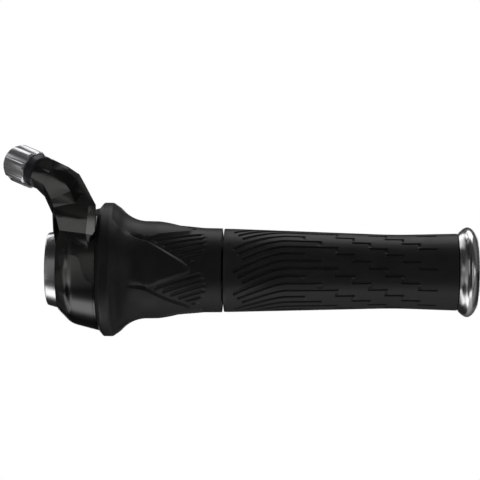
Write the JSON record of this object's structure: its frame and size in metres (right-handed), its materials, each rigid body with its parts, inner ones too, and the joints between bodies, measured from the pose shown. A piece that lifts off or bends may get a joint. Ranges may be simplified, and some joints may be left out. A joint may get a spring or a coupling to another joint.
{
  "type": "twist grip shifter",
  "caption": "Bicycle twist grip shifter: flared rubber twist grip on a bar mandrel, glossy housing with cable arm and barrel adjuster, fixed rubber grip and alloy lock collar.",
  "frame": {"origin": "centre of the handlebar bore at the clamp's inboard face", "axes": "+X along the bar, outboard from the clamp to the lock collar; +Z the way the cable arm rises; -Y towards the rider"},
  "size_m": [0.2013, 0.0568, 0.0813],
  "materials": {
    "black_rubber": "moulded, satin",
    "grey_rubber": "plain",
    "black_nylon": "glossy moulded",
    "inner_nylon": "moulded",
    "white_acetal": "moulded, smooth",
    "bright_aluminium": "polished, fine turned",
    "satin_aluminium": "satin",
    "zinc_steel": "zinc plated",
    "black_steel": "black oxide",
    "spring_steel": "bright rolled",
    "bearing_steel": "ground",
    "brass": "turned"
  },
  "bodies": {
    "housing": {"bar_clamp": "bright_aluminium", "clamp_bolt": "zinc_steel", "mandrel": "satin_aluminium", "mandrel_screws": "zinc_steel", "housing": "black_nylon", "front_cover": "black_nylon", "cover_screw": "black_steel", "cable_guide": "white_acetal", "threaded_insert": "brass", "adjuster_collar": "black_nylon", "detent_spring": "spring_steel", "thrust_washer": "white_acetal", "retaining_ring": "spring_steel", "wiper_seal": "grey_rubber", "stationary_core": "inner_nylon", "stationary_grip_rubber": "black_rubber", "lock_collar": "bright_aluminium", "lock_bolt": "black_steel"},
    "twist_grip": {"grip_sleeve": "satin_aluminium", "twist_grip_rubber": "black_rubber", "cable_spool": "white_acetal", "index_ring": "white_acetal", "dust_seal": "grey_rubber"},
    "inboard_bearing": {"inboard_bearing_cage": "inner_nylon", "inboard_bearing_rollers": "bearing_steel"},
    "outboard_bearing": {"outboard_bearing_cage": "inner_nylon", "outboard_bearing_rollers": "bearing_steel"},
    "ferrule": {"ferrule_seat": "inner_nylon"},
    "adjuster": {"adjuster_barrel": "bright_aluminium"}
  },
  "joints": [
    {"name": "twist", "type": "hinge", "parent": "housing", "child": "twist_grip", "pos_m": [0, 0, 0], "axis": [1, 0, 0], "range_deg": [0, 105]},
    {"name": "inboard_bearing_roll", "type": "hinge", "parent": "housing", "child": "inboard_bearing", "pos_m": [0, 0, 0], "axis": [1, 0, 0], "range_deg": [0, 60]},
    {"name": "outboard_bearing_roll", "type": "hinge", "parent": "housing", "child": "outboard_bearing", "pos_m": [0, 0, 0], "axis": [1, 0, 0], "range_deg": [0, 60]},
    {"name": "adjuster_slide", "type": "slide", "parent": "housing", "child": "ferrule", "axis": [-0.7333, 0.6154, 0.289], "range_m": [0, 0.00401]},
    {"name": "adjuster_turn", "type": "hinge", "parent": "ferrule", "child": "adjuster", "pos_m": [-0.00177, -0.00496, 0.04042], "axis": [-0.7333, 0.6154, 0.289], "range_deg": [0, 1440]}
  ],
  "couplings": [
    {"joint": "inboard_bearing_roll", "follows": "twist", "ratio": 0.53632},
    {"joint": "outboard_bearing_roll", "follows": "twist", "ratio": 0.53632},
    {"joint": "adjuster_slide", "follows": "adjuster_turn", "m_per_rad": 0.00015915}
  ]
}
